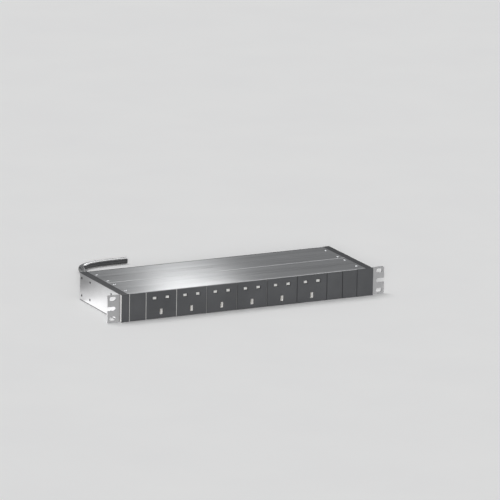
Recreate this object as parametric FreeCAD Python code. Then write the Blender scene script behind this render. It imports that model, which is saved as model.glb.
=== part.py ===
import FreeCAD, Part
import math
import os

# Rack power distribution unit for a 19-inch rack, one unit high, with six three-pin sockets in front.
# Millimetres. X runs along the rack width, Y runs from front to rear, Z is up, and Z = 0 is the underside.

# Overall sizes
RACK_WIDTH = 482.6
EAR_HEIGHT = 43.6
BODY_WIDTH = 439.0
BODY_HEIGHT = 44.0
DEPTH = 155.0
FRONT_Y = -DEPTH / 2
REAR_Y = DEPTH / 2
MID_Z = BODY_HEIGHT / 2

# Rack brackets
SHEET = 2.0
EAR_FRONT_Y = FRONT_Y + 5.0
SLOT_X = 465.1 / 2
SLOT_PITCH_Z = 31.75
SLOT_WIDTH = 6.8
SLOT_LENGTH = 10.3
BRACKET_HOLE_YS = (-38.5, 39.5, 70.5)
BRACKET_HOLE_DZ = 14.0
BRACKET_HOLE_R = 2.1
BEND_R = 2.6
EAR_CORNER_R = 2.0
EDGE_RELIEF = 0.95

# Extruded channels
CHANNEL_HALF = 207.9
WALL = 2.0
EDGE_EASE = 0.8
GROOVE_WIDE = 0.5
GROOVE_DEEP = 0.4
FRONT_RIB = (3.0, 1.4)
REAR_RIB = (6.0, 5.4)
FACE_THICK = 3.6
COVER_THICK = 3.0
CHANNEL_FRONT_Y = FRONT_Y + FACE_THICK + 0.2
CHANNEL_REAR_Y = REAR_Y - COVER_THICK - 0.2
POST_X = 202.0
POST_YS = (-53.5, -12.0, 12.0, 53.5)
POST_HALF = 4.5
CAP_RIM = 2.5

# Front modules
FACE_GAP = 0.8
MODULE_WIDTH = 52.5
FIRST_SOCKET_X = -177.4
SOCKET_COUNT = 6
LEFT_CAP_EDGE = -205.8
RIGHT_CAP_EDGE = 190.9
INNER_BLANK_EDGE = 165.2
SKIRT_INSET = 2.2
SKIRT_LOW_Z = 3.9
SKIRT_INSIDE_Z = 5.1

# Socket apertures, shutter and contacts
PIN_X = 11.1
POLE_Z = 33.1
EARTH_Z = 10.9
POLE_SLOT = (7.4, 4.9)
EARTH_SLOT = (5.0, 9.0)
SHUTTER_FRONT_Y = FRONT_Y + 5.2
CHAMBER_BACK_Y = FRONT_Y + 9.2
CONTACT_FRONT_Y = FRONT_Y + 11.0
CONTACT_REAR_Y = FRONT_Y + 27.4
BASE_REAR_Y = FRONT_Y + 31.0
SHUTTER_HALF = 16.9
BAR_TOP_Z = 29.9
WEDGE_TOP_Z = 36.3
TAB_HALF = 4.6
SPRING_FOOT_Z = 16.6
SPRING_TOP_Z = 26.4

# Supply cord and gland
CORD_D = 10.0
CORD_FLATS = 24
GLAND_X = -188.0
GLAND_FLATS = 24.0
GLAND_FLANGE = 7.0
GLAND_THREAD_R = 10.0
GLAND_BORE_R = 5.4
CORD_ROUTE = (
    (GLAND_X, 64.0, MID_Z),
    (GLAND_X, 124.0, MID_Z),
    (-154.0, 200.0, 5.2),
    (-138.5, 261.0, 5.2),
    (-55.0, 256.0, 5.2),
)

# Wiring behind the sockets
POLE_XS = {"live": -192.0, "neutral": -184.0, "earth": -176.0}
LIVE_BAR_Y = FRONT_Y + 34.0
NEUTRAL_BAR_Y = FRONT_Y + 38.0
EARTH_BAR_Y = FRONT_Y + 34.0
BAR_THICK = 1.2
TERMINAL_FRONT_Y = 24.0
TERMINAL_REAR_Y = 46.0
TERMINAL_SCREW_Y = 41.0
BOND_X = -154.0
BOND_Y = 40.0


def box(x0, x1, y0, y1, z0, z1):
    size = FreeCAD.Vector(x1 - x0, y1 - y0, z1 - z0)
    return Part.makeBox(size.x, size.y, size.z, FreeCAD.Vector(x0, y0, z0))


def rod(start, direction, radius, length):
    return Part.makeCylinder(radius, length, FreeCAD.Vector(*start), FreeCAD.Vector(*direction))


def prism_x(points, x0, x1):
    wire = Part.makePolygon([FreeCAD.Vector(x0, y, z) for y, z in points + points[:1]])
    return Part.Face(wire).extrude(FreeCAD.Vector(x1 - x0, 0, 0))


def prism_z(points, z0, z1):
    wire = Part.makePolygon([FreeCAD.Vector(x, y, z0) for x, y in points + points[:1]])
    return Part.Face(wire).extrude(FreeCAD.Vector(0, 0, z1 - z0))


def joined(shapes):
    return shapes[0].multiFuse(shapes[1:]).removeSplitter()


def mirrored(shape, normal, base=(0, 0, 0)):
    return shape.mirror(FreeCAD.Vector(*base), FreeCAD.Vector(*normal))


def hexagon(u, v, flats):
    radius = flats / math.sqrt(3)
    turns = [math.radians(60 * k) for k in range(6)]
    return [(u + radius * math.cos(turn), v + radius * math.sin(turn)) for turn in turns]


def hex_bar(x, z, y0, y1, flats):
    corners = [FreeCAD.Vector(px, y0, pz) for px, pz in hexagon(x, z, flats)]
    wire = Part.makePolygon(corners + corners[:1])
    return Part.Face(wire).extrude(FreeCAD.Vector(0, y1 - y0, 0))


# Straight runs joined by tangent arcs, swept with a round section of many small flats across the Y direction
def tube(route, diameter, name):
    points = [FreeCAD.Vector(*p) for p in route]
    edges = []
    start = points[0]
    for k in range(1, len(points) - 1):
        back = points[k - 1] - points[k]
        ahead = points[k + 1] - points[k]
        half_turn = (math.pi - back.getAngle(ahead)) / 2
        reach = 0.45 * min(back.Length, ahead.Length)
        radius = reach / math.tan(half_turn)
        back.normalize()
        ahead.normalize()
        inward = (back + ahead).normalize()
        arc_start = points[k] + back * reach
        arc_end = points[k] + ahead * reach
        arc_mid = points[k] + inward * (radius / math.cos(half_turn) - radius)
        edges.append(Part.LineSegment(start, arc_start).toShape())
        edges.append(Part.Arc(arc_start, arc_mid, arc_end).toShape())
        start = arc_end
        print(name, "bend", k, "radius", round(radius, 1), "mm")
    edges.append(Part.LineSegment(start, points[-1]).toShape())
    path = Part.Wire(edges)
    ring = []
    for k in range(CORD_FLATS):
        turn = 2 * math.pi * k / CORD_FLATS
        ring.append(points[0] + FreeCAD.Vector(math.cos(turn), 0, math.sin(turn)) * (diameter / 2))
    section = Part.makePolygon(ring + ring[:1])
    shape = path.makePipeShell([section], True, False)
    expected = Part.Face(section).Area * path.Length
    print(name, "length", round(path.Length, 1), "volume ratio", round(shape.Volume / expected, 4))
    return shape


# One extruded channel: walls, web, an inward rib at the open edge, a fine groove and eased edges
def channel(open_y, rib):
    side = -1 if open_y < 0 else 1
    reach = abs(open_y)
    rib_deep, rib_tall = rib
    inside = BODY_HEIGHT - WALL
    eased = BODY_HEIGHT - EDGE_EASE
    near = reach / 2 - GROOVE_WIDE / 2
    far = reach / 2 + GROOVE_WIDE / 2
    floor = BODY_HEIGHT - GROOVE_DEEP
    upper = [(0.0, eased), (EDGE_EASE, BODY_HEIGHT)]
    upper += [(near, BODY_HEIGHT), (near, floor), (far, floor), (far, BODY_HEIGHT)]
    upper += [(reach - EDGE_EASE, BODY_HEIGHT), (reach, eased), (reach, inside - rib_tall)]
    upper += [(reach - rib_deep, inside - rib_tall), (reach - rib_deep, inside), (WALL, inside)]
    lower = [(y, BODY_HEIGHT - z) for y, z in reversed(upper)]
    outline = [(side * y, z) for y, z in upper + lower]
    shape = prism_x(outline, -CHANNEL_HALF, CHANNEL_HALF)
    pass_through = box(POLE_XS["live"] - 5, POLE_XS["earth"] + 5, -WALL - 1, WALL + 1, 8, 36)
    return shape.cut(pass_through)


def rear_cover():
    half = CHANNEL_HALF - 0.4
    plate = box(-half, half, REAR_Y - COVER_THICK, REAR_Y, 0.3, BODY_HEIGHT - 0.3)
    plate = plate.makeChamfer(0.5, [e for e in plate.Edges if e.BoundBox.YMin > REAR_Y - 0.01])
    return plate.cut(rod((GLAND_X, REAR_Y - 5, MID_Z), (0, 1, 0), GLAND_THREAD_R + 0.15, 10))


# Moulded end cap, drawn for the right end: rim, ribbed plate, screw posts and a front lip
def end_cap(lip_edge):
    inner = CHANNEL_HALF + 0.1
    outer = BODY_WIDTH / 2
    skin = outer - SHEET
    y0 = FRONT_Y + FACE_THICK
    rim = box(inner, skin, y0, REAR_Y, 0, BODY_HEIGHT)
    pocket = box(inner - 1, skin - 4, y0 + CAP_RIM, REAR_Y - CAP_RIM, CAP_RIM, BODY_HEIGHT - CAP_RIM)
    pieces = [rim.cut(pocket)]
    pieces.append(box(inner, outer, EAR_FRONT_Y + 3.2, REAR_Y, BODY_HEIGHT - 0.8, BODY_HEIGHT))
    pieces.append(box(inner, outer, EAR_FRONT_Y + 3.2, REAR_Y, 0, 0.8))
    lip = box(lip_edge + FACE_GAP / 2, outer, FRONT_Y, y0, 0.0, BODY_HEIGHT)
    front_edges = [e for e in lip.Edges if e.BoundBox.YMax < FRONT_Y + 0.01]
    pieces.append(lip.makeChamfer(0.5, front_edges))
    pieces.append(box(inner, outer, y0, EAR_FRONT_Y - 0.2, 0.0, BODY_HEIGHT))
    for y in POST_YS:
        left, right = POST_X - POST_HALF, POST_X + POST_HALF
        pieces.append(box(left, right, y - POST_HALF, y + POST_HALF, WALL + 0.2, BODY_HEIGHT - WALL - 0.2))
        pieces.append(box(POST_X, skin - 3.9, y - 2, y + 2, POST_HALF, BODY_HEIGHT - POST_HALF))
    return joined(pieces)


def bracket_hole_places():
    return [(y, MID_Z + dz) for y in BRACKET_HOLE_YS for dz in (-BRACKET_HOLE_DZ, BRACKET_HOLE_DZ)]


def slot_hole(x, z):
    reach = (SLOT_LENGTH - SLOT_WIDTH) / 2
    y = EAR_FRONT_Y - 1
    middle = box(x - reach, x + reach, y, y + SHEET + 2, z - SLOT_WIDTH / 2, z + SLOT_WIDTH / 2)
    ends = [rod((x + s * reach, y, z), (0, 1, 0), SLOT_WIDTH / 2, SHEET + 2) for s in (-1, 1)]
    return joined([middle] + ends)


# Bent sheet bracket, drawn for the right end: side plate, bend and rack ear with three slots
def rack_bracket():
    inner = BODY_WIDTH / 2 - SHEET
    outer = BODY_WIDTH / 2
    front = EAR_FRONT_Y
    bottom = MID_Z - EAR_HEIGHT / 2
    edge = RACK_WIDTH / 2
    profile = [(inner, REAR_Y - 0.4), (inner, front), (edge, front), (edge, front + SHEET)]
    profile += [(outer, front + SHEET), (outer, REAR_Y - 0.4)]
    sheet = prism_z(profile, bottom, bottom + EAR_HEIGHT)
    upright = [e for e in sheet.Edges if e.BoundBox.ZLength > 1]
    bend = [e for e in upright if e.BoundBox.XMax < inner + 0.01 and e.BoundBox.YMax < 0]
    sheet = sheet.makeFillet(BEND_R, bend)
    upright = [e for e in sheet.Edges if e.BoundBox.ZLength > 1 and e.BoundBox.YMax < 0]
    sheet = sheet.makeFillet(BEND_R - SHEET, [e for e in upright if abs(e.BoundBox.XMax - outer) < 0.01])
    corners = [e for e in sheet.Edges if e.BoundBox.XMin > edge - 0.01 and e.BoundBox.YLength > 1]
    sheet = sheet.makeFillet(EAR_CORNER_R, corners)
    for z in (MID_Z - SLOT_PITCH_Z / 2, MID_Z + SLOT_PITCH_Z / 2):
        sheet = sheet.cut(slot_hole(SLOT_X, z))
    half = SLOT_WIDTH / 2
    notch = box(SLOT_X - SLOT_LENGTH / 2 + half, edge + 1, front - 1, front + 4, MID_Z - half, MID_Z + half)
    end = rod((SLOT_X - SLOT_LENGTH / 2 + half, front - 1, MID_Z), (0, 1, 0), half, 5)
    sheet = sheet.cut(notch.fuse(end))
    for z0, z1 in ((-1, EDGE_RELIEF), (BODY_HEIGHT - EDGE_RELIEF, BODY_HEIGHT + 1)):
        sheet = sheet.cut(box(inner - 1, outer + 0.1, front + 2.9, REAR_Y + 1, z0, z1))
    for y, z in bracket_hole_places():
        sheet = sheet.cut(rod((inner - 1, y, z), (1, 0, 0), BRACKET_HOLE_R, 4))
    return sheet


# Flat face plate with an eased front edge
def face_plate(x0, x1):
    plate = box(x0 + FACE_GAP / 2, x1 - FACE_GAP / 2, FRONT_Y, FRONT_Y + FACE_THICK, 0.2, BODY_HEIGHT - 0.4)
    return plate.makeChamfer(0.4, [e for e in plate.Edges if e.BoundBox.YMax < FRONT_Y + 0.01])


# Boxed skirt behind a face plate, with two hooks that catch behind the channel's ribs
def hooked_skirt(x0, x1, deep):
    front = FRONT_Y + FACE_THICK
    left = x0 + FACE_GAP / 2 + SKIRT_INSET
    right = x1 - FACE_GAP / 2 - SKIRT_INSET
    skirt = box(left, right, front, front + deep, SKIRT_LOW_Z, BODY_HEIGHT - SKIRT_LOW_Z)
    inside_top = BODY_HEIGHT - SKIRT_INSIDE_Z
    skirt = skirt.cut(box(left + 1.4, right - 1.4, front, front + deep, SKIRT_INSIDE_Z, inside_top))
    middle = (left + right) / 2
    rib_back = CHANNEL_FRONT_Y + FRONT_RIB[0] + 0.3
    barb = [(rib_back, SKIRT_LOW_Z), (rib_back, SKIRT_LOW_Z - 1.3), (rib_back + 2.4, SKIRT_LOW_Z)]
    hook = prism_x(barb, middle - 6, middle + 6)
    return joined([skirt, hook, mirrored(hook, (0, 0, 1), (0, 0, MID_Z))])


def blank_module(x0, x1):
    return joined([face_plate(x0, x1), hooked_skirt(x0, x1, 9.0)])


def socket_centre(number):
    return FIRST_SOCKET_X + MODULE_WIDTH * (number - 0.5)


# Socket face: a plate with two pole apertures above and one earth aperture below
def socket_face(number):
    x = socket_centre(number)
    face = face_plate(x - MODULE_WIDTH / 2, x + MODULE_WIDTH / 2)
    slots = [(-PIN_X, POLE_Z, POLE_SLOT), (PIN_X, POLE_Z, POLE_SLOT), (0, EARTH_Z, EARTH_SLOT)]
    for dx, z, (wide, tall) in slots:
        low, high = z - tall / 2, z + tall / 2
        left, right = x + dx - wide / 2, x + dx + wide / 2
        face = face.cut(box(left, right, FRONT_Y - 1, FRONT_Y + FACE_THICK + 1, low, high))
    return face


# Socket housing behind its face: shutter chamber with rails in front, three contact cells behind it
def socket_base(number):
    x = socket_centre(number)
    chamber_front = FRONT_Y + FACE_THICK
    roof = BODY_HEIGHT - SKIRT_INSIDE_Z
    half = MODULE_WIDTH / 2 - FACE_GAP / 2 - SKIRT_INSET
    pieces = [hooked_skirt(x - MODULE_WIDTH / 2, x + MODULE_WIDTH / 2, 8.0)]
    top = BODY_HEIGHT - SKIRT_LOW_Z
    pieces.append(box(x - half, x + half, CHAMBER_BACK_Y, BASE_REAR_Y, SKIRT_LOW_Z, top))
    pieces.append(box(x - 4.2, x + 4.2, chamber_front, CHAMBER_BACK_Y, 5.0, SPRING_FOOT_Z))
    for side in (-1, 1):
        guide = sorted((x + side * 17.2, x + side * 18.7))
        stop = sorted((x + side * 15.9, x + side * 17.2))
        rib = sorted((x + side * 16.0, x + side * SHUTTER_HALF))
        pieces.append(box(guide[0], guide[1], chamber_front, CHAMBER_BACK_Y, 18.5, roof))
        pieces.append(box(stop[0], stop[1], chamber_front, SHUTTER_FRONT_Y - 0.3, 18.5, roof))
        pieces.append(box(rib[0], rib[1], SHUTTER_FRONT_Y + 1.9, CHAMBER_BACK_Y, 19.5, 30.2))
    base = joined(pieces)
    cell_back = BASE_REAR_Y - 2
    rear = BASE_REAR_Y + 1
    for side in (-1, 1):
        cell = x + side * PIN_X
        flank = sorted((x + side * 5.8, x + side * 20.0))
        front = CHAMBER_BACK_Y - 0.1
        base = base.cut(box(cell - TAB_HALF, cell + TAB_HALF, front, cell_back, POLE_Z - 4, POLE_Z + 4))
        base = base.cut(box(cell - 3.2, cell + 3.2, cell_back - 1, rear, POLE_Z - 3, POLE_Z + 3))
        base = base.cut(box(flank[0], flank[1], CHAMBER_BACK_Y + 2, rear, 7.0, 27.0))
    base = base.cut(box(x - 2.6, x + 2.6, FRONT_Y, CHAMBER_BACK_Y + 1, EARTH_Z - 4.6, EARTH_Z + 4.6))
    base = base.cut(box(x - 4.0, x + 4.0, CHAMBER_BACK_Y + 0.9, cell_back, EARTH_Z - 4.3, EARTH_Z + 4.3))
    return base.cut(box(x - 1.2, x + 1.2, cell_back - 1, rear, EARTH_Z - 3, EARTH_Z + 3))


# Sliding shutter: a cross bar with two wedge tabs behind the upper apertures and a spring seat
def shutter(number):
    x = socket_centre(number)
    front = SHUTTER_FRONT_Y
    back = front + 3.5
    pieces = [box(x - SHUTTER_HALF, x + SHUTTER_HALF, front, front + 1.6, SPRING_TOP_Z, BAR_TOP_Z)]
    wedge = [(back, BAR_TOP_Z), (front, BAR_TOP_Z), (front, BAR_TOP_Z + 1.1)]
    wedge += [(back - 0.6, WEDGE_TOP_Z), (back, WEDGE_TOP_Z)]
    for side in (-1, 1):
        cell = x + side * PIN_X
        pieces.append(prism_x(wedge, cell - TAB_HALF, cell + TAB_HALF))
        pieces.append(box(cell - TAB_HALF, cell + TAB_HALF, front, back, BAR_TOP_Z - 1.5, BAR_TOP_Z))
    pieces.append(box(x - 2.4, x + 2.4, front, back - 0.1, SPRING_TOP_Z, BAR_TOP_Z))
    return joined(pieces)


# Return spring of the shutter: a folded strip standing on the ledge below the cross bar
def shutter_spring(number):
    x = socket_centre(number)
    folds = 6
    strip = 0.3
    low = SPRING_FOOT_Z + 0.3
    rise = (SPRING_TOP_Z - 0.3 - strip - low) / folds
    legs = []
    for k in range(folds):
        side = 1.3 if k % 2 else -1.3
        foot = low + k * rise
        outline = [(x + side, foot), (x - side, foot + rise)]
        outline += [(x - side, foot + rise + strip), (x + side, foot + strip)]
        corners = [FreeCAD.Vector(px, SHUTTER_FRONT_Y + 0.6, pz) for px, pz in outline + outline[:1]]
        legs.append(Part.Face(Part.makePolygon(corners)).extrude(FreeCAD.Vector(0, 2.4, 0)))
    return joined(legs)


# Outlines of one contact in depth and spread: two leaves pinched where they grip the pin, and their bridge
def leaf_pair():
    front, grip, rear = CONTACT_FRONT_Y, CONTACT_FRONT_Y + 6.0, CONTACT_REAR_Y
    upper = [(front, 3.0), (grip, 1.75), (rear, 2.0), (rear, 2.6), (grip, 2.35), (front, 3.6)]
    lower = [(y, -s) for y, s in reversed(upper)]
    bridge = [(rear - 0.3, -2.6), (rear + 0.6, -2.6), (rear + 0.6, 2.6), (rear - 0.3, 2.6)]
    return upper, lower, bridge


# One contact in each socket for the live or neutral pole, its tail reaching the busbar
def pole_contacts(side, tail_low, bar_y):
    clips = []
    for number in range(1, SOCKET_COUNT + 1):
        x = socket_centre(number) + side * PIN_X
        low = POLE_Z + tail_low
        clip = [prism_x([(y, POLE_Z + s) for y, s in part], x - 2.8, x + 2.8) for part in leaf_pair()]
        clip.append(box(x - 2.0, x + 2.0, CONTACT_REAR_Y + 0.3, bar_y, low, low + 0.8))
        clips.append(joined(clip))
    return Part.makeCompound(clips)


def earth_contacts(bar_y):
    clips = []
    for number in range(1, SOCKET_COUNT + 1):
        x = socket_centre(number)
        low, high = EARTH_Z - 3.5, EARTH_Z + 3.5
        clip = [prism_z([(x + s, y) for y, s in part], low, high) for part in leaf_pair()]
        clip.append(box(x - 0.5, x + 0.5, CONTACT_REAR_Y + 0.3, bar_y, EARTH_Z - 2.5, EARTH_Z + 2.5))
        clips.append(joined(clip))
    return Part.makeCompound(clips)


def busbar(front_y, z0, z1):
    return box(POLE_XS["live"] - 4, socket_centre(SOCKET_COUNT) + 18, front_y, front_y + BAR_THICK, z0, z1)


# Three-pole terminal block in line with the gland, a cage in each pole and a screw well above it
def terminal_block():
    body = box(POLE_XS["live"] - 6, POLE_XS["earth"] + 6, TERMINAL_FRONT_Y, TERMINAL_REAR_Y, 2, 30)
    for x in POLE_XS.values():
        body = body.cut(box(x - 2.4, x + 2.4, TERMINAL_FRONT_Y - 1, TERMINAL_REAR_Y + 1, 19.5, 24.5))
        body = body.cut(box(x - 2.6, x + 2.6, TERMINAL_SCREW_Y - 2.6, TERMINAL_SCREW_Y + 2.6, 24, 31))
    return body


def terminal_screws():
    screws = [prism_z(hexagon(x, TERMINAL_SCREW_Y, 4.1), 24.8, 29.0) for x in POLE_XS.values()]
    return Part.makeCompound(screws)


# Bent copper link from a terminal, through the webs, to the rear of its busbar
def link(pole, bar_y, bar_z):
    x = POLE_XS[pole]
    thick = 1.0
    line = [(TERMINAL_FRONT_Y + 10, 21.0), (8.0, 21.0), (-14.0, bar_z), (bar_y + BAR_THICK, bar_z)]
    raised = [(y, z + thick) for y, z in reversed(line)]
    return prism_x(line + raised, x - 2.0, x + 2.0)


# Insulated core of the cord, from the end of its sheath to its terminal
def core(pole, dx, dz):
    start = FreeCAD.Vector(GLAND_X + dx, 63.5, MID_Z + dz)
    end = FreeCAD.Vector(POLE_XS[pole], TERMINAL_REAR_Y - 1.6, MID_Z)
    return Part.makeCylinder(1.2, (end - start).Length, start, end - start)


# Earth bonding tag with its hexagon screw, on the floor of the rear channel
def earth_bond_tag():
    tag = box(BOND_X - 10, BOND_X + 4, BOND_Y - 3.5, BOND_Y + 3.5, WALL, WALL + 0.8)
    return joined([tag, prism_z(hexagon(BOND_X, BOND_Y, 7.0), WALL + 0.8, WALL + 3.6)])


# Cable gland: threaded hexagon body, domed nut outside and locknut inside the cover
def cable_gland_body():
    flange = hex_bar(GLAND_X, MID_Z, REAR_Y, REAR_Y + GLAND_FLANGE, GLAND_FLATS)
    thread = rod((GLAND_X, 66.0, MID_Z), (0, 1, 0), GLAND_THREAD_R, REAR_Y - 66.0 + 1)
    return joined([flange, thread]).cut(rod((GLAND_X, 60.0, MID_Z), (0, 1, 0), GLAND_BORE_R, 40))


def gland_nut():
    start = REAR_Y + GLAND_FLANGE + 0.3
    shoulder = start + 11.0
    nut = hex_bar(GLAND_X, MID_Z, start, shoulder, GLAND_FLATS)
    dome = Part.makeCone(11.6, 7.0, 9.0, FreeCAD.Vector(GLAND_X, shoulder, MID_Z), FreeCAD.Vector(0, 1, 0))
    return joined([nut, dome]).cut(rod((GLAND_X, start - 1, MID_Z), (0, 1, 0), GLAND_BORE_R, 30))


def gland_locknut():
    nut = hex_bar(GLAND_X, MID_Z, 69.0, REAR_Y - COVER_THICK, GLAND_FLATS + 1.0)
    return nut.cut(rod((GLAND_X, 60.0, MID_Z), (0, 1, 0), GLAND_THREAD_R + 0.1, 20))


def build():
    nodes = {}
    nodes["front_channel"] = channel(CHANNEL_FRONT_Y, FRONT_RIB)
    nodes["rear_channel"] = channel(CHANNEL_REAR_Y, REAR_RIB)
    nodes["rear_cover"] = rear_cover()
    nodes["right_end_cap"] = end_cap(RIGHT_CAP_EDGE)
    nodes["left_end_cap"] = mirrored(end_cap(-LEFT_CAP_EDGE), (1, 0, 0))
    nodes["right_rack_bracket"] = rack_bracket()
    nodes["left_rack_bracket"] = mirrored(rack_bracket(), (1, 0, 0))
    last_socket_x = FIRST_SOCKET_X + MODULE_WIDTH * SOCKET_COUNT
    nodes["left_blank"] = blank_module(LEFT_CAP_EDGE, FIRST_SOCKET_X)
    nodes["right_blank_inner"] = blank_module(last_socket_x, INNER_BLANK_EDGE)
    nodes["right_blank_outer"] = blank_module(INNER_BLANK_EDGE, RIGHT_CAP_EDGE)
    for number in range(1, SOCKET_COUNT + 1):
        nodes["socket_face_%d" % number] = socket_face(number)
        nodes["socket_base_%d" % number] = socket_base(number)
        nodes["shutter_%d" % number] = shutter(number)
        nodes["shutter_spring_%d" % number] = shutter_spring(number)
    nodes["live_contacts"] = pole_contacts(-1, 1.6, LIVE_BAR_Y)
    nodes["neutral_contacts"] = pole_contacts(1, -2.4, NEUTRAL_BAR_Y)
    nodes["earth_contacts"] = earth_contacts(EARTH_BAR_Y)
    nodes["live_busbar"] = busbar(LIVE_BAR_Y, 34.6, 40.0)
    nodes["neutral_busbar"] = busbar(NEUTRAL_BAR_Y, 26.0, 31.6)
    nodes["earth_busbar"] = busbar(EARTH_BAR_Y, 8.0, 14.0)
    nodes["terminal_block"] = terminal_block()
    nodes["terminal_screws"] = terminal_screws()
    nodes["live_link"] = link("live", LIVE_BAR_Y, 36.8)
    nodes["neutral_link"] = link("neutral", NEUTRAL_BAR_Y, 28.3)
    nodes["earth_link"] = link("earth", EARTH_BAR_Y, 10.5)
    nodes["live_core"] = core("live", -1.6, 1.6)
    nodes["neutral_core"] = core("neutral", 0.0, -1.6)
    nodes["earth_core"] = core("earth", 1.6, 1.6)
    nodes["earth_bond_tag"] = earth_bond_tag()
    nodes["cable_gland_body"] = cable_gland_body()
    nodes["gland_nut"] = gland_nut()
    nodes["gland_locknut"] = gland_locknut()
    nodes["mains_cord"] = tube(CORD_ROUTE, CORD_D, "mains cord")
    return nodes


os.makedirs("parts", exist_ok=True)
for node, shape in build().items():
    print(node, "valid", shape.isValid(), "solids", len(shape.Solids), "volume", round(shape.Volume, 1))
    shape.exportStep("parts/%s.step" % node)
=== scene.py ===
import math

import bmesh
import bpy
from mathutils import Matrix, Vector


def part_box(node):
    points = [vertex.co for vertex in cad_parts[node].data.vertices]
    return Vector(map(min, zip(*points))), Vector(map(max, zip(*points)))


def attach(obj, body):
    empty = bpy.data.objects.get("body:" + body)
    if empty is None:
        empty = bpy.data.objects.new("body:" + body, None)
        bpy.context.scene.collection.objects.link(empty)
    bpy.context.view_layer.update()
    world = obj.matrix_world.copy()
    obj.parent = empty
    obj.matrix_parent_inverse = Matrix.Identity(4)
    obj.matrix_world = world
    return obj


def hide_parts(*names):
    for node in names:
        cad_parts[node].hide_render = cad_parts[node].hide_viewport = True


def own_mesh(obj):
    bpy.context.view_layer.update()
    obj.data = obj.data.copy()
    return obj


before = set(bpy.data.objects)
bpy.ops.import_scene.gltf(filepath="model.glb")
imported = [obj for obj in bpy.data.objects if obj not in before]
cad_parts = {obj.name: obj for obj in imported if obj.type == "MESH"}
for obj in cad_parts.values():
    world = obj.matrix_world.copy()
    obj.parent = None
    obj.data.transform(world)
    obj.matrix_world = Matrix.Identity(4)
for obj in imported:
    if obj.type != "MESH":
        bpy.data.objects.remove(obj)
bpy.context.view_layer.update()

scene = bpy.context.scene
scene.view_settings.view_transform = "Standard"


# Camera: a long lens a little to the left of the front and slightly above, as for a catalogue
# picture, so that the depth is much foreshortened and the edges stay almost parallel.
CAMERA_PLACE = (-4.04352, -8.22073, 2.38829)
CAMERA_TURN, CAMERA_DROP, CAMERA_ROLL = (math.radians(a) for a in (-26.4127, 14.157, 0.9573))
SENSOR_WIDTH_MM, LENS_MM = 36.0, 432.0

camera = bpy.data.objects.new("camera", bpy.data.cameras.new("camera"))
camera.data.sensor_width = SENSOR_WIDTH_MM
camera.data.lens = LENS_MM
camera.matrix_world = (Matrix.Translation(CAMERA_PLACE) @ Matrix.Rotation(CAMERA_TURN, 4, "Z")
                       @ Matrix.Rotation(math.pi / 2 - CAMERA_DROP, 4, "X")
                       @ Matrix.Rotation(CAMERA_ROLL, 4, "Z"))
scene.collection.objects.link(camera)
scene.camera = camera


# Studio: a wide pale paper floor and two broad soft lights, one near the camera and one overhead. Glowing
# cards that only shiny surfaces see stand and lie round the body and shape the reflections in its metal.
def linear(hex_colour):
    channels = [int(hex_colour[i:i + 2], 16) / 255 for i in (1, 3, 5)]
    return [c / 12.92 if c <= 0.04045 else ((c + 0.055) / 1.055) ** 2.4 for c in channels] + [1.0]


def add_node(material, kind, inputs, **settings):
    node = material.node_tree.nodes.new(kind)
    for name, value in settings.items():
        setattr(node, name, value)
    for socket, value in inputs.items():
        if isinstance(value, bpy.types.NodeSocket):
            material.node_tree.links.new(value, node.inputs[socket])
        else:
            node.inputs[socket].default_value = value
    return node


def new_material(name):
    material = bpy.data.materials.new(name)
    material.use_nodes = True
    material.node_tree.nodes.clear()
    return material


def soft_light(name, direction, spread, strength):
    light = bpy.data.objects.new(name, bpy.data.lights.new(name, "SUN"))
    light.data.angle = math.radians(spread)
    light.data.energy = strength
    light.rotation_euler = Vector(direction).to_track_quat("-Z", "Y").to_euler()
    scene.collection.objects.link(light)
    return light


def reflector_card(name, place, target, width, height, strength, only=()):
    """A glowing card that the camera doesn't see, and that lights only the given pieces, if any."""
    glow = new_material(name + "_glow")
    lamp = add_node(glow, "ShaderNodeEmission", {"Strength": strength})
    add_node(glow, "ShaderNodeOutputMaterial", {"Surface": lamp.outputs["Emission"]})
    aim = (Vector(target) - Vector(place)).to_track_quat("Z", "Y").to_matrix().to_4x4()
    bm = bmesh.new()
    shape = Matrix.Translation(place) @ aim @ Matrix.Diagonal((width, height, 1, 1))
    bmesh.ops.create_grid(bm, x_segments=1, y_segments=1, size=0.5, matrix=shape)
    card = bpy.data.objects.new(name, bpy.data.meshes.new(name))
    bm.to_mesh(card.data)
    bm.free()
    card.data.materials.append(glow)
    card.visible_camera = False
    card.visible_diffuse = False
    card.visible_shadow = False
    scene.collection.objects.link(card)
    if only:
        card.light_linking.receiver_collection = bpy.data.collections.new("lit_by_" + name)
        for piece in only:
            card.light_linking.receiver_collection.objects.link(piece)


key = soft_light("light_near_camera", direction=(0.43, 0.86, -0.27), spread=12, strength=2.75)
key.visible_glossy = False
soft_light("light_overhead", direction=(0.15, -0.35, -1.0), spread=36, strength=1.0)

# A card behind the body draws the highlight across the brushed top
reflector_card("rear_card", (0.131, 0.301, 0.408), target=(-0.221, -0.042, 0.504),
               width=0.137, height=0.225, strength=10.2)
# Three on the floor at the left, from bright to dark, grade the left side plate from front to rear
FLOOR_CARD_LIFT = 0.0005
LEFT_CARDS_X, LEFT_CARDS_WIDTH = -0.29, 0.14
for name, near, far, strength in (("left_card", -0.07, 0.065, 2.2), ("left_half_card", 0.065, 0.125, 1.3),
                                  ("left_flag", 0.125, 0.26, 0.3)):
    middle = (near + far) / 2
    reflector_card(name, (LEFT_CARDS_X, middle, FLOOR_CARD_LIFT), target=(LEFT_CARDS_X, middle, 1),
                   width=LEFT_CARDS_WIDTH, height=far - near, strength=strength)
# One on the floor in front brightens the ears, and one overhead draws the light lines on the broken edges
reflector_card("front_card", (0.07, -0.20, FLOOR_CARD_LIFT), target=(0.07, -0.20, 1),
               width=0.62, height=0.26, strength=0.80)
reflector_card("overhead_card", (0.42, -0.22, 0.9), target=(0.42, -0.22, 0),
               width=1.0, height=0.45, strength=1.7)

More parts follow.
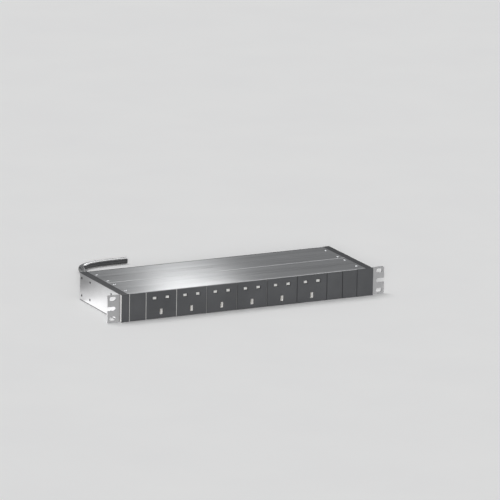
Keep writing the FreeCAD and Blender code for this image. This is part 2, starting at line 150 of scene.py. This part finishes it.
scene.world = bpy.data.worlds.new("studio_air")
scene.world.use_nodes = True
air = scene.world.node_tree.nodes["Background"].inputs
air["Color"].default_value = linear("#F4F5F7")
air["Strength"].default_value = 0.28

# Rolled paper: matt and nearly white, with a very slight mottle a sixth of a metre across
FLOOR_HALF_SIZE, FLOOR_HEIGHT, MOTTLE_SIZE = 15, -0.0003, 1 / 6
paper = new_material("matt_studio_paper")
place = add_node(paper, "ShaderNodeTexCoord", {}).outputs["Object"]
mottle = add_node(paper, "ShaderNodeTexNoise", {"Vector": place, "Scale": 1 / MOTTLE_SIZE, "Detail": 3.0})
tone = add_node(paper, "ShaderNodeMix", {"Factor": mottle.outputs["Fac"], "A": linear("#EFEFEF"),
                                         "B": linear("#F4F4F3")}, data_type="RGBA")
surface = add_node(paper, "ShaderNodeBsdfPrincipled", {
    "Base Color": tone.outputs["Result"], "Roughness": 0.9, "Specular IOR Level": 0.0})
add_node(paper, "ShaderNodeOutputMaterial", {"Surface": surface.outputs["BSDF"]})

bm = bmesh.new()
bmesh.ops.create_grid(bm, x_segments=1, y_segments=1, size=FLOOR_HALF_SIZE,
                      matrix=Matrix.Translation((0, 0, FLOOR_HEIGHT)))
floor = bpy.data.objects.new("floor", bpy.data.meshes.new("floor"))
bm.to_mesh(floor.data)
bm.free()
floor.data.materials.append(paper)
scene.collection.objects.link(floor)


# Supply cord: a round three-core mains lead in dark grey sheath, 10 mm thick. It leaves the back
# cover straight, sinks to the floor, swings round behind the body and ends in a clean cut.
CORD_THICK, CORD_LENGTH = 0.010, 0.28
CORD_ROUTE = [(-0.188, 0.064, 0.022), (-0.188, 0.106, 0.022), (-0.188, 0.124, 0.022),
              (-0.154, 0.200, 0.0052), (-0.1385, 0.261, 0.0052), (-0.055, 0.256, 0.0052)]

# Soft PVC sheath, extruded: dark, with a clear sheen and a faint unevenness about 4 mm across
sheath = new_material("extruded_soft_pvc_dark_grey")
place = add_node(sheath, "ShaderNodeTexCoord", {}).outputs["Object"]
flow = add_node(sheath, "ShaderNodeTexNoise", {"Vector": place, "Scale": 1 / 0.004, "Detail": 4.0})
tone = add_node(sheath, "ShaderNodeMix", {"Factor": flow.outputs["Fac"], "A": linear("#303132"),
                                          "B": linear("#3E3F40")}, data_type="RGBA")
gloss = add_node(sheath, "ShaderNodeMapRange", {
    "Value": flow.outputs["Fac"], "To Min": 0.20, "To Max": 0.30})
relief = add_node(sheath, "ShaderNodeBump", {
    "Height": flow.outputs["Fac"], "Strength": 0.25, "Distance": 0.0002})
surface = add_node(sheath, "ShaderNodeBsdfPrincipled", {
    "Base Color": tone.outputs["Result"], "Roughness": gloss.outputs["Result"],
    "Normal": relief.outputs["Normal"], "IOR": 1.53})
add_node(sheath, "ShaderNodeOutputMaterial", {"Surface": surface.outputs["BSDF"]})

route = bpy.data.curves.new("supply_cord", "CURVE")
route.dimensions = "3D"
spline = route.splines.new("NURBS")
spline.points.add(len(CORD_ROUTE) - 1)
for point, at in zip(spline.points, CORD_ROUTE):
    point.co = (*at, 1.0)
spline.order_u = 3
spline.use_endpoint_u = True
spline.resolution_u = 16
route.bevel_depth = CORD_THICK / 2
route.bevel_resolution = 12
route.use_fill_caps = True
route.materials.append(sheath)
cord = bpy.data.objects.new("supply_cord", route)
scene.collection.objects.link(cord)
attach(cord, "housing")
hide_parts("mains_cord")

# A card close above the cord lights the cord alone and draws the bright line along its upper side
reflector_card("cord_card", (-0.05, 0.300, 0.09), target=(-0.05, 0.300, 0),
               width=0.24, height=0.10, strength=10.0, only=[cord])


# Cut end of the cord: three insulated cores stand a hair proud of the sheath, each with the bright
# end of its copper strands in the middle.
def moulded(name, dark, light, grain_size, roughness):
    """A coloured plastic whose tone and gloss vary slightly over spots of the given size."""
    material = new_material(name)
    place = add_node(material, "ShaderNodeTexCoord", {}).outputs["Object"]
    spots = add_node(material, "ShaderNodeTexNoise", {
        "Vector": place, "Scale": 1 / grain_size, "Detail": 5.0})
    tone = add_node(material, "ShaderNodeMix", {"Factor": spots.outputs["Fac"], "A": linear(dark),
                                                "B": linear(light)}, data_type="RGBA")
    gloss = add_node(material, "ShaderNodeMapRange", {
        "Value": spots.outputs["Fac"], "To Min": roughness - 0.06, "To Max": roughness + 0.06})
    relief = add_node(material, "ShaderNodeBump", {
        "Height": spots.outputs["Fac"], "Strength": 0.15, "Distance": grain_size / 20})
    surface = add_node(material, "ShaderNodeBsdfPrincipled", {
        "Base Color": tone.outputs["Result"], "Roughness": gloss.outputs["Result"],
        "Normal": relief.outputs["Normal"], "IOR": 1.5})
    add_node(material, "ShaderNodeOutputMaterial", {"Surface": surface.outputs["BSDF"]})
    return material


def drawn_metal(name, dark, light, mark_size, roughness, glancing="#FFFFFF"):
    """A metal with fine marks of the given size along each axis, and its tone at a glancing angle."""
    material = new_material(name)
    place = add_node(material, "ShaderNodeTexCoord", {}).outputs["Object"]
    scaled = add_node(material, "ShaderNodeMapping", {"Vector": place, "Scale": [1 / s for s in mark_size]})
    marks = add_node(material, "ShaderNodeTexNoise", {
        "Vector": scaled.outputs["Vector"], "Scale": 1.0, "Detail": 5.0})
    tone = add_node(material, "ShaderNodeMix", {"Factor": marks.outputs["Fac"], "A": linear(dark),
                                                "B": linear(light)}, data_type="RGBA")
    gloss = add_node(material, "ShaderNodeMapRange", {
        "Value": marks.outputs["Fac"], "To Min": roughness - 0.08, "To Max": roughness + 0.08})
    relief = add_node(material, "ShaderNodeBump", {
        "Height": marks.outputs["Fac"], "Strength": 0.12, "Distance": 0.0001})
    surface = add_node(material, "ShaderNodeBsdfPrincipled", {
        "Base Color": tone.outputs["Result"], "Metallic": 1.0, "Roughness": gloss.outputs["Result"],
        "Specular Tint": linear(glancing), "Normal": relief.outputs["Normal"]})
    add_node(material, "ShaderNodeOutputMaterial", {"Surface": surface.outputs["BSDF"]})
    return material


def dress(material, *nodes):
    """Gives the named solids of the CAD a material and leaves their meshes as they are."""
    for node in nodes:
        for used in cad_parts[node].material_slots:
            used.material = material


def of_kind(kind, geometry):
    """The vertices, edges or faces among what a bmesh operator gives back."""
    return [element for element in geometry if isinstance(element, kind)]


SHARP_COSINE = math.cos(math.radians(35))


def new_piece(name, bm, materials):
    """Turns a finished bmesh into a piece of the housing."""
    bmesh.ops.recalc_face_normals(bm, faces=bm.faces)
    # Each corner takes the normals of the faces round it by their area, so that flat faces stay flat
    normals = []
    for face in bm.faces:
        for corner in face.verts:
            near = [f for f in corner.link_faces if f.normal.dot(face.normal) > SHARP_COSINE]
            normals.append(sum((f.normal * f.calc_area() for f in near), Vector()).normalized())
    mesh = bpy.data.meshes.new(name)
    bm.to_mesh(mesh)
    bm.free()
    for material in materials:
        mesh.materials.append(material)
    mesh.shade_smooth()
    mesh.normals_split_custom_set(normals)
    piece = bpy.data.objects.new(name, mesh)
    scene.collection.objects.link(piece)
    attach(piece, "housing")
    return piece


# Extruded PVC insulation: clear colours with a soft shine, the two of the earth core mixed in spots
brown = moulded("smooth_pvc_insulation_brown", "#4A2A17", "#5A3520", 0.004, 0.4)
blue = moulded("smooth_pvc_insulation_blue", "#1D4C94", "#2A5CA8", 0.004, 0.4)
green = moulded("smooth_pvc_insulation_green_yellow", "#3B7A2C", "#A9A92E", 0.006, 0.4)
# Cut copper: warm and bright, broken up by the ends of strands 0.3 mm thick
strands = drawn_metal("bare_copper_strands", "#A8653F", "#D08A5E", (0.0003, 0.0003, 0.0003), 0.35)

CORE_RADIUS, STRAND_RADIUS, CORE_RING = 0.0016, 0.0009, 0.0021
CORE_SUNK, CORE_LENGTH = 0.001, 0.0014
end_way = Vector(CORD_ROUTE[-1]) - Vector(CORD_ROUTE[-2])
end_turn = end_way.to_track_quat("Z", "X").to_matrix().to_4x4()
end_place = Matrix.Translation(CORD_ROUTE[-1]) @ end_turn
for name, colour, slot, angle in (("live", brown, "brown_wire", 90), ("neutral", blue, "blue_wire", 210),
                                  ("earth", green, "green_wire", 330)):
    bm = bmesh.new()
    offset = Matrix.Rotation(math.radians(angle), 4, "Z") @ Matrix.Translation((CORE_RING, 0, -CORE_SUNK))
    bmesh.ops.create_circle(bm, cap_ends=True, segments=24, radius=CORE_RADIUS, matrix=end_place @ offset)
    grown = bmesh.ops.extrude_face_region(bm, geom=bm.faces[:])["geom"]
    bmesh.ops.translate(bm, vec=end_turn @ Vector((0, 0, CORE_LENGTH)),
                        verts=of_kind(bmesh.types.BMVert, grown))
    end_face = of_kind(bmesh.types.BMFace, grown)
    bmesh.ops.inset_region(bm, faces=end_face, thickness=CORE_RADIUS - STRAND_RADIUS)
    end_face[0].material_index = 1
    new_piece("cord_end_" + name + "_core", bm, [colour, strands])


# Cable gland: a black nylon body screwed through the back cover with a locknut inside, and a domed
# hexagon nut that squeezes the seal on the cord.
GLAND_AT = Vector((-0.188, 0, 0.022))
GLAND_HEX, HEX_EDGE = 0.01386, 0.0007
HEX_START, NUT_SHOULDER = 0.0776, 0.0958
# Moulded nylon: black and smooth, with a dull shine that varies over spots of 1 mm
nylon = moulded("moulded_black_nylon", "#1A1B1C", "#262729", 0.0012, 0.42)


def hexagon_collar(bm, near, far):
    middle = Matrix.Translation(GLAND_AT + Vector((0, (near + far) / 2, 0)))
    turn = Matrix.Rotation(math.pi / 2, 4, "X")
    made = bmesh.ops.create_cone(bm, cap_ends=True, segments=6, radius1=GLAND_HEX, radius2=GLAND_HEX,
                                 depth=far - near, matrix=middle @ turn)["verts"]
    edges = list({e for v in made for e in v.link_edges})
    bmesh.ops.bevel(bm, geom=edges, offset=HEX_EDGE, offset_type="OFFSET", affect="EDGES", segments=3,
                    profile=0.5, material=-1)


low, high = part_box("cable_gland_body")
bm = bmesh.new()
hexagon_collar(bm, HEX_START, high.y)
gland_body = new_piece("gland_hexagon_body", bm, [nylon])
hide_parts("cable_gland_body")

low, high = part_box("gland_nut")
bm = bmesh.new()
hexagon_collar(bm, low.y, NUT_SHOULDER)
# The dome's outline as radius and place along the cord, turned round the cord's line
DOME = [(0.0121, 0.0956), (0.0118, 0.0975), (0.0110, 0.1000), (0.0098, 0.1023), (0.0084, 0.1040),
        (0.0074, 0.1047), (0.0066, 0.1048), (0.0058, 0.1044), (0.0054, 0.1036), (0.0054, 0.0956)]
ring = [bm.verts.new(GLAND_AT + Vector((r, y, 0))) for r, y in DOME]
edges = [bm.edges.new(pair) for pair in zip(ring, ring[1:] + ring[:1])]
bmesh.ops.spin(bm, geom=ring + edges, cent=GLAND_AT, axis=(0, 1, 0), angle=2 * math.pi, steps=48,
               use_merge=True)
gland_nut = new_piece("gland_domed_nut", bm, [nylon])
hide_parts("gland_nut")
dress(nylon, "gland_locknut")


# Body channels: two aluminium extrusions back to back make the top and the bottom. They are brushed
# lengthways and clear anodised, with broken front and joint edges and one fine groove each.
brushed = new_material("brushed_clear_anodised_aluminium")
place = add_node(brushed, "ShaderNodeTexCoord", {}).outputs["Object"]
# Brushing draws fine streaks along the length and spreads the highlight across them. The lines are
# about 0.1 mm apart: drawn 0.7 mm apart here, so that they show at this distance
lines = add_node(brushed, "ShaderNodeMapping", {"Vector": place, "Scale": (1 / 0.09, 1 / 0.0007, 1 / 0.0007)})
fine = add_node(brushed, "ShaderNodeTexNoise", {
    "Vector": lines.outputs["Vector"], "Scale": 1.0, "Detail": 3.0})
bands = add_node(brushed, "ShaderNodeMapping", {"Vector": place, "Scale": (1 / 0.35, 1 / 0.006, 1 / 0.006)})
broad = add_node(brushed, "ShaderNodeTexNoise", {
    "Vector": bands.outputs["Vector"], "Scale": 1.0, "Detail": 2.0})
streak = add_node(brushed, "ShaderNodeMix", {
    "Factor": 0.35, "A": fine.outputs["Fac"], "B": broad.outputs["Fac"]})
depth = add_node(brushed, "ShaderNodeMapRange", {
    "Value": streak.outputs["Result"], "From Min": 0.3, "From Max": 0.7})
tone = add_node(brushed, "ShaderNodeMix", {"Factor": depth.outputs["Result"], "A": linear("#AFB0B1"),
                                           "B": linear("#CECFD0")}, data_type="RGBA")
gloss = add_node(brushed, "ShaderNodeMapRange", {
    "Value": streak.outputs["Result"], "From Min": 0.3, "From Max": 0.7, "To Min": 0.27, "To Max": 0.37})
relief = add_node(brushed, "ShaderNodeBump", {
    "Height": fine.outputs["Fac"], "Strength": 0.10, "Distance": 0.0001})
across = add_node(brushed, "ShaderNodeCombineXYZ", {"X": 0.0, "Y": 1.0, "Z": 0.0})
surface = add_node(brushed, "ShaderNodeBsdfPrincipled", {
    "Base Color": tone.outputs["Result"], "Metallic": 1.0, "Roughness": gloss.outputs["Result"],
    "Anisotropic": 0.7, "Tangent": across.outputs["Vector"], "Normal": relief.outputs["Normal"]})
add_node(brushed, "ShaderNodeOutputMaterial", {"Surface": surface.outputs["BSDF"]})
dress(brushed, "front_channel", "rear_channel")


# End caps and back cover: dark grey ABS mouldings that close the ends and the rear of the channels.
# The mould is spark-eroded, so the surface is satin with a very fine even grain.

# Spark-eroded ABS: an even dark grey with a soft, wide shine. The grain is about 0.05 mm wide: drawn
# 0.5 mm wide here, so that it shows at all, under clouds of 50 mm from the flow in the mould
satin = new_material("spark_eroded_abs_dark_grey")
place = add_node(satin, "ShaderNodeTexCoord", {}).outputs["Object"]
grain = add_node(satin, "ShaderNodeTexNoise", {"Vector": place, "Scale": 1 / 0.0005, "Detail": 2.0})
cloud = add_node(satin, "ShaderNodeTexNoise", {"Vector": place, "Scale": 1 / 0.05, "Detail": 3.0})
speck = add_node(satin, "ShaderNodeMix", {
    "Factor": 0.5, "A": grain.outputs["Fac"], "B": cloud.outputs["Fac"]})
depth = add_node(satin, "ShaderNodeMapRange", {
    "Value": speck.outputs["Result"], "From Min": 0.3, "From Max": 0.7})
tone = add_node(satin, "ShaderNodeMix", {"Factor": depth.outputs["Result"], "A": linear("#333436"),
                                         "B": linear("#48494B")}, data_type="RGBA")
gloss = add_node(satin, "ShaderNodeMapRange", {
    "Value": cloud.outputs["Fac"], "To Min": 0.44, "To Max": 0.58})
relief = add_node(satin, "ShaderNodeBump", {
    "Height": grain.outputs["Fac"], "Strength": 0.3, "Distance": 0.0001})
surface = add_node(satin, "ShaderNodeBsdfPrincipled", {
    "Base Color": tone.outputs["Result"], "Roughness": gloss.outputs["Result"], "IOR": 1.54,
    "Normal": relief.outputs["Normal"]})
add_node(satin, "ShaderNodeOutputMaterial", {"Surface": surface.outputs["BSDF"]})
dress(satin, "left_end_cap", "right_end_cap", "rear_cover")


# Rack brackets: 2 mm sheet steel, punched and bent once, so that each side plate carries its slotted
# ear. The sheet is zinc plated and each plate is screwed to its end cap.

# Zinc plating: pale and half dull, clouded by haze. Its crystals are about 0.1 mm wide: drawn 0.8 mm
# wide here, so that they show as a fine grain
zinc = new_material("zinc_plated_sheet_steel")
place = add_node(zinc, "ShaderNodeTexCoord", {}).outputs["Object"]
crystal = add_node(zinc, "ShaderNodeTexNoise", {"Vector": place, "Scale": 1 / 0.0008, "Detail": 3.0})
haze = add_node(zinc, "ShaderNodeTexNoise", {"Vector": place, "Scale": 1 / 0.03, "Detail": 2.0})
speck = add_node(zinc, "ShaderNodeMix", {
    "Factor": 0.4, "A": crystal.outputs["Fac"], "B": haze.outputs["Fac"]})
depth = add_node(zinc, "ShaderNodeMapRange", {
    "Value": speck.outputs["Result"], "From Min": 0.3, "From Max": 0.7})
tone = add_node(zinc, "ShaderNodeMix", {"Factor": depth.outputs["Result"], "A": linear("#B4B4B5"),
                                        "B": linear("#CCCCCD")}, data_type="RGBA")
gloss = add_node(zinc, "ShaderNodeMapRange", {
    "Value": speck.outputs["Result"], "To Min": 0.34, "To Max": 0.52})
relief = add_node(zinc, "ShaderNodeBump", {
    "Height": crystal.outputs["Fac"], "Strength": 0.15, "Distance": 0.0001})
surface = add_node(zinc, "ShaderNodeBsdfPrincipled", {
    "Base Color": tone.outputs["Result"], "Metallic": 1.0, "Roughness": gloss.outputs["Result"],
    "Normal": relief.outputs["Normal"]})
add_node(zinc, "ShaderNodeOutputMaterial", {"Surface": surface.outputs["BSDF"]})
dress(zinc, "left_rack_bracket", "right_rack_bracket")


# Screws: small cross-recessed steel screws with low round heads hold the channels to the end caps,
# above and below, and the back cover to the rear channel.
HEAD_RADIUS, HEAD_HEIGHT, HEAD_SKIRT = 0.0028, 0.0006, 0.0004
HEAD_RINGS = ((HEAD_RADIUS * 0.82, HEAD_HEIGHT * 0.8), (HEAD_RADIUS, 0.0), (HEAD_RADIUS, -HEAD_SKIRT))
CROSS_WIDTH, CROSS_DEPTH, HEAD_CELLS = 0.0006, 0.0007, 5
UNDERSIDE_INSET = 0.0004
CHANNEL_SCREW_X, CHANNEL_SCREW_Y = (-0.202, 0.202), (-0.0535, -0.012, 0.012, 0.0535)
COVER_SCREW_X, COVER_SCREW_Z = (-0.158, -0.060, 0.060, 0.170), (0.0048, 0.0392)
# Bright zinc: a clear, pale metal that catches every light
bright_zinc = drawn_metal("bright_zinc_plated_screw_steel", "#B9BBBD", "#E2E4E6",
                          (0.0006, 0.0006, 0.0006), 0.28)


def cross_head(bm, place, up):
    turn = Matrix.Translation(place) @ Vector(up).to_track_quat("Z", "Y").to_matrix().to_4x4()
    part = bmesh.new()
    bmesh.ops.create_grid(part, x_segments=HEAD_CELLS, y_segments=HEAD_CELLS,
                          size=CROSS_WIDTH * HEAD_CELLS / 2, matrix=Matrix.Translation((0, 0, HEAD_HEIGHT)))
    cells = part.faces[:]
    rim = [e for e in part.edges if e.is_boundary]
    # The head falls away from the flat middle in rings, the last of which goes a little into the metal below
    for radius, height in HEAD_RINGS:
        grown = bmesh.ops.extrude_edge_only(part, edges=rim)["geom"]
        rim = of_kind(bmesh.types.BMEdge, grown)
        for v in of_kind(bmesh.types.BMVert, grown):
            v.co = v.co.xy.normalized().to_3d() * radius + Vector((0, 0, height))
    bmesh.ops.holes_fill(part, edges=rim, sides=len(rim))
    # The middle cell and the four beside it sink and make the cross
    cross = [f for f in cells if f.calc_center_median().xy.length < CROSS_WIDTH * 1.2]
    sunk = bmesh.ops.extrude_face_region(part, geom=cross)["geom"]
    bmesh.ops.translate(part, vec=(0, 0, -CROSS_DEPTH), verts=of_kind(bmesh.types.BMVert, sunk))
    bmesh.ops.delete(part, geom=cross, context="FACES")
    bmesh.ops.transform(part, matrix=turn, verts=part.verts)
    mesh = bpy.data.meshes.new("head")
    part.to_mesh(mesh)
    part.free()
    bm.from_mesh(mesh)
    bpy.data.meshes.remove(mesh)


low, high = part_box("front_channel")
for name, height, up in (("top", high.z, (0, 0, 1)), ("underside", low.z + UNDERSIDE_INSET, (0, 0, -1))):
    bm = bmesh.new()
    for x in CHANNEL_SCREW_X:
        for y in CHANNEL_SCREW_Y:
            cross_head(bm, (x, y, height), up)
    new_piece(name + "_channel_screws", bm, [bright_zinc])

low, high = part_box("rear_cover")
bm = bmesh.new()
for x in COVER_SCREW_X:
    for z in COVER_SCREW_Z:
        cross_head(bm, (x, high.y, z), (0, 1, 0))
new_piece("back_cover_screws", bm, [bright_zinc])


# Bracket screws: put in from inside the end caps, so only their black ends show in the holes of
# each side plate, slightly below its face and with a turned dimple.
END_RADIUS, END_LENGTH, END_DEPTH = 0.00205, 0.0012, 0.0002
END_CHAMFER, END_CROWN, DIMPLE_INSET, DIMPLE_DEPTH = 0.0004, 0.0002, 0.0008, 0.0006
BRACKET_SCREW_Y, BRACKET_SCREW_Z = (-0.0385, 0.0395, 0.0705), (0.008, 0.036)
# Blacked steel: almost black, and dull even at a glancing angle
blacked = drawn_metal("blacked_screw_steel", "#060606", "#0E0E0F", (0.0008, 0.0008, 0.0008), 0.55,
                      glancing="#060606")
for side, name in ((-1, "left"), (1, "right")):
    low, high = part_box(name + "_end_cap")
    outer = max(abs(low.x), abs(high.x)) - END_DEPTH
    bm = bmesh.new()
    for y in BRACKET_SCREW_Y:
        for z in BRACKET_SCREW_Z:
            turn = (Matrix.Translation((side * (outer - END_LENGTH / 2), y, z))
                    @ Matrix.Rotation(side * math.pi / 2, 4, "Y"))
            made = bmesh.ops.create_cone(bm, cap_ends=True, segments=24, radius1=END_RADIUS,
                                         radius2=END_RADIUS, depth=END_LENGTH, matrix=turn)["verts"]
            end = [f for f in bm.faces if made[0] in f.verts or made[-1] in f.verts]
            end = [max(end, key=lambda f: abs(f.calc_center_median().x))]
            bmesh.ops.inset_region(bm, faces=end, thickness=END_CHAMFER, depth=END_CROWN)
            bmesh.ops.inset_region(bm, faces=end, thickness=DIMPLE_INSET, depth=-DIMPLE_DEPTH)
    new_piece(name + "_bracket_screw_ends", bm, [blacked])


# Front modules: dark grey ABS plates clipped side by side into the open front of the body. Three are
# blank, and six have the apertures of a three-pin socket with softened edges.
FACE_THICK, FACE_EDGE, APERTURE_EDGE = 0.0036, 0.0007, 0.00035
POLE_APERTURE, EARTH_APERTURE = (0.0074, 0.0049), (0.0050, 0.0090)
ARC_MIDDLE = math.sin(math.pi / 4)
# Place from the middle of the plate, height above the floor, width and height of each aperture
APERTURES = ((-0.0111, 0.0331, *POLE_APERTURE), (0.0111, 0.0331, *POLE_APERTURE),
             (0.0, 0.0109, *EARTH_APERTURE))
BLANKS, SOCKETS = ("left_blank", "right_blank_inner", "right_blank_outer"), range(1, 7)


def front_module(node, apertures):
    low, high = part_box(node)
    middle = (low + high) / 2
    half_wide, half_high = (high.x - low.x) / 2, (high.z - low.z) / 2
    front = low.y
    bm = bmesh.new()
    flat_wide, flat_high = half_wide - FACE_EDGE, half_high - FACE_EDGE
    bm.faces.new([bm.verts.new((middle.x + sx * flat_wide, front, middle.z + sz * flat_high))
                  for sx, sz in ((-1, -1), (1, -1), (1, 1), (-1, 1))])
    for dx, z, width, height in apertures:
        for side in (-1, 1):
            cuts = (((middle.x + dx + side * (width / 2 + APERTURE_EDGE), front, z), (1, 0, 0)),
                    ((middle.x + dx, front, z + side * (height / 2 + APERTURE_EDGE)), (0, 0, 1)))
            for place, normal in cuts:
                bmesh.ops.bisect_plane(bm, geom=bm.verts[:] + bm.edges[:] + bm.faces[:],
                                       plane_co=place, plane_no=normal)
    holes = [f for f in bm.faces for dx, z, width, height in apertures
             if abs(f.calc_center_median().x - middle.x - dx) < width / 2
             and abs(f.calc_center_median().z - z) < height / 2]
    # The back has the cuts of the face, but is as large as the whole plate and its apertures are plain
    back = bmesh.ops.duplicate(bm, geom=[f for f in bm.faces if f not in holes])["geom"]
    for v in of_kind(bmesh.types.BMVert, back):
        x, z = v.co.x - middle.x, v.co.z - middle.z
        v.co = (middle.x + x * half_wide / flat_wide, front + FACE_THICK,
                middle.z + z * half_high / flat_high)
        for dx, hole_z, width, height in apertures:
            x_off, z_off = x - dx, z + middle.z - hole_z
            if (abs(x_off) < width / 2 + 2 * APERTURE_EDGE
                    and abs(z_off) < height / 2 + 2 * APERTURE_EDGE):
                v.co.x = middle.x + dx + math.copysign(width / 2, x_off)
                v.co.z = hole_z + math.copysign(height / 2, z_off)
    # The outer rim turns in rings from the face into the side of the plate
    rim = [e for e in bm.edges if e.is_boundary and e not in back]
    reach = 0.0
    for angle in (math.pi / 6, math.pi / 3, math.pi / 2):
        grown = bmesh.ops.extrude_edge_only(bm, edges=rim)["geom"]
        rim = of_kind(bmesh.types.BMEdge, grown)
        last, reach = reach, FACE_EDGE * math.sin(angle)
        wider = (flat_wide + reach) / (flat_wide + last)
        higher = (flat_high + reach) / (flat_high + last)
        for v in of_kind(bmesh.types.BMVert, grown):
            v.co = (middle.x + (v.co.x - middle.x) * wider, front + FACE_EDGE * (1 - math.cos(angle)),
                    middle.z + (v.co.z - middle.z) * higher)
    # Each aperture turns in over a small arc, and then all walls run straight to the back
    for inward, sunk in ((ARC_MIDDLE, 1 - ARC_MIDDLE), (1 - ARC_MIDDLE, ARC_MIDDLE)):
        bmesh.ops.inset_region(bm, faces=holes, thickness=APERTURE_EDGE * inward,
                               depth=-APERTURE_EDGE * sunk, use_even_offset=True)
    bmesh.ops.delete(bm, geom=holes, context="FACES_ONLY")
    walls = [e for e in bm.edges if e.is_boundary and e.verts[0].co.y < front + FACE_THICK / 2]
    grown = bmesh.ops.extrude_edge_only(bm, edges=walls)["geom"]
    for v in of_kind(bmesh.types.BMVert, grown):
        v.co.y = front + FACE_THICK
    bmesh.ops.remove_doubles(bm, verts=bm.verts, dist=1e-6)
    piece = new_piece(node + "_plate", bm, [satin])
    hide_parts(node)


for node in BLANKS:
    front_module(node, ())
for number in SOCKETS:
    front_module("socket_face_%d" % number, APERTURES)


# Joint strips: pale grey strips stand in the joints between the front plates. They are painted highlights
# for the light on the lit left sides of the plates: on the left they come almost to the front and show as
# light lines, and to the right they lie deeper and deeper, so that the painted highlight fades. A white one
# edges the left end cap beside the ear, a painted highlight for the lit side of its lip.

# Moulded polyamide: pale and even, with a soft shine. The grey serves only the painted highlight strips in
# the joints, and the white also serves the painted highlight strip at the left end cap
joint_highlight_grey = moulded("grey_polyamide_painted_highlight", "#A3A3A1", "#AEAEAC", 0.003, 0.5)
polyamide = moulded("moulded_white_polyamide", "#F0EFEC", "#F8F7F5", 0.003, 0.5)
STRIP_WIDTH, HALF_JOINT, EDGE_STRIP_THICK = 0.00078, 0.0004, 0.0004
# How deep each strip lies behind the front, in the joint at the left of the named module: deeper strips show
# less of the painted highlight
JOINT_HIGHLIGHT_DEPTHS = {"left_blank": 0.0002, "socket_face_1": 0.0002, "socket_face_2": 0.0002,
                "socket_face_3": 0.0015, "socket_face_4": 0.0017, "socket_face_5": 0.0018,
                "socket_face_6": 0.0030}


def block(bm, middle, size):
    bmesh.ops.create_cube(bm, size=1.0, matrix=Matrix.Translation(middle) @ Matrix.Diagonal((*size, 1)))


# Pale strips in the joints: a painted highlight for the lit left sides of the plates
bm = bmesh.new()
for node, depth in JOINT_HIGHLIGHT_DEPTHS.items():
    low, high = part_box(node)
    block(bm, (low.x - HALF_JOINT, low.y + (FACE_THICK + depth) / 2, (low.z + high.z) / 2),
          (STRIP_WIDTH, FACE_THICK - depth, high.z - low.z))
new_piece("front_joint_painted_highlight_strips", bm, [joint_highlight_grey])

low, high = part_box("left_end_cap")
ear_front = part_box("left_rack_bracket")[0].y
# The white strip on the end cap's left side is a painted highlight for the lit side of its lip
bm = bmesh.new()
block(bm, (low.x - EDGE_STRIP_THICK / 2, (low.y + ear_front) / 2, (low.z + high.z) / 2),
      (EDGE_STRIP_THICK, ear_front - low.y - 2 * FACE_EDGE, high.z - low.z - 2 * FACE_EDGE))
new_piece("left_cap_painted_highlight_strip", bm, [polyamide])


# Earth guides: a white sleeve of the contact housing stands in each earth aperture, up to half the
# thickness of the plate, and leads the pin into its contact.
GUIDE_WALL, GUIDE_FRONT, GUIDE_BACK, GUIDE_PLAY = 0.00018, 0.0015, 0.0046, 0.00004
dx, z, width, height = APERTURES[-1]
bm = bmesh.new()
for number in SOCKETS:
    low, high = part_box("socket_face_%d" % number)
    block(bm, ((low.x + high.x) / 2 + dx, low.y + (GUIDE_FRONT + GUIDE_BACK) / 2, z),
          (width - GUIDE_PLAY, GUIDE_BACK - GUIDE_FRONT, height - GUIDE_PLAY))
# Each sleeve is open at the front and the back
bmesh.ops.delete(bm, geom=[f for f in bm.faces if abs(f.normal.y) > 0.5], context="FACES_ONLY")
bmesh.ops.solidify(bm, geom=bm.faces[:], thickness=GUIDE_WALL)
new_piece("earth_aperture_guides", bm, [polyamide])


# Shutters: white moulded slides with two wedge tabs that close the pole apertures until a plug's
# earth pin pushes them down. Each rides its own joint against a small coil spring.

# Moulded urea: a hard, slightly grey white with a soft shine
white = moulded("moulded_white_urea", "#D2D2CF", "#DEDEDB", 0.002, 0.42)
# Drawn wire: a clean grey steel that glints along each turn
wire = drawn_metal("drawn_spring_wire", "#8F9194", "#B4B6B9", (0.0004, 0.0004, 0.0004), 0.32)
COIL_RADIUS, WIRE_RADIUS, COIL_TURNS, TURN_STEPS, WIRE_SIDES = 0.0010, 0.00018, 8, 20, 8
for number in SOCKETS:
    dress(white, "shutter_%d" % number)
    low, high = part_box("shutter_spring_%d" % number)
    centre = Vector(((low.x + high.x) / 2, (low.y + high.y) / 2, low.z))
    rise = (high.z - low.z - 2 * WIRE_RADIUS) / (COIL_TURNS * TURN_STEPS)
    bm = bmesh.new()
    start = centre + Vector((COIL_RADIUS, 0, WIRE_RADIUS))
    bmesh.ops.create_circle(bm, segments=WIRE_SIDES, radius=WIRE_RADIUS,
                            matrix=Matrix.Translation(start) @ Matrix.Rotation(math.pi / 2, 4, "X"))
    bmesh.ops.spin(bm, geom=bm.verts[:] + bm.edges[:], cent=centre, axis=(0, 0, 1), dvec=(0, 0, rise),
                   angle=2 * math.pi * COIL_TURNS, steps=COIL_TURNS * TURN_STEPS)
    bmesh.ops.holes_fill(bm, edges=[e for e in bm.edges if e.is_boundary], sides=WIRE_SIDES)
    spring = new_piece("shutter_coil_spring_%d" % number, bm, [wire])
    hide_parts("shutter_spring_%d" % number)
    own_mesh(spring)


# Inside the body: pale contact housings behind the faces, brass clips and bars that link the sockets,
# and the terminal block where the cord's cores are clamped.

# Rolled brass and copper strip: warm, half bright, with fine marks along the length
brass = drawn_metal("stamped_brass", "#A98545", "#C9A45F", (0.02, 0.0008, 0.0008), 0.34)
copper = drawn_metal("bent_copper_strip", "#A4603E", "#C9835A", (0.01, 0.0008, 0.0008), 0.36)
dress(polyamide, "terminal_block", *["socket_base_%d" % number for number in SOCKETS])
for pole in ("live", "neutral", "earth"):
    dress(brass, pole + "_contacts", pole + "_busbar")
    dress(copper, pole + "_link")
dress(bright_zinc, "terminal_screws", "earth_bond_tag")
dress(brown, "live_core")
dress(blue, "neutral_core")
dress(green, "earth_core")
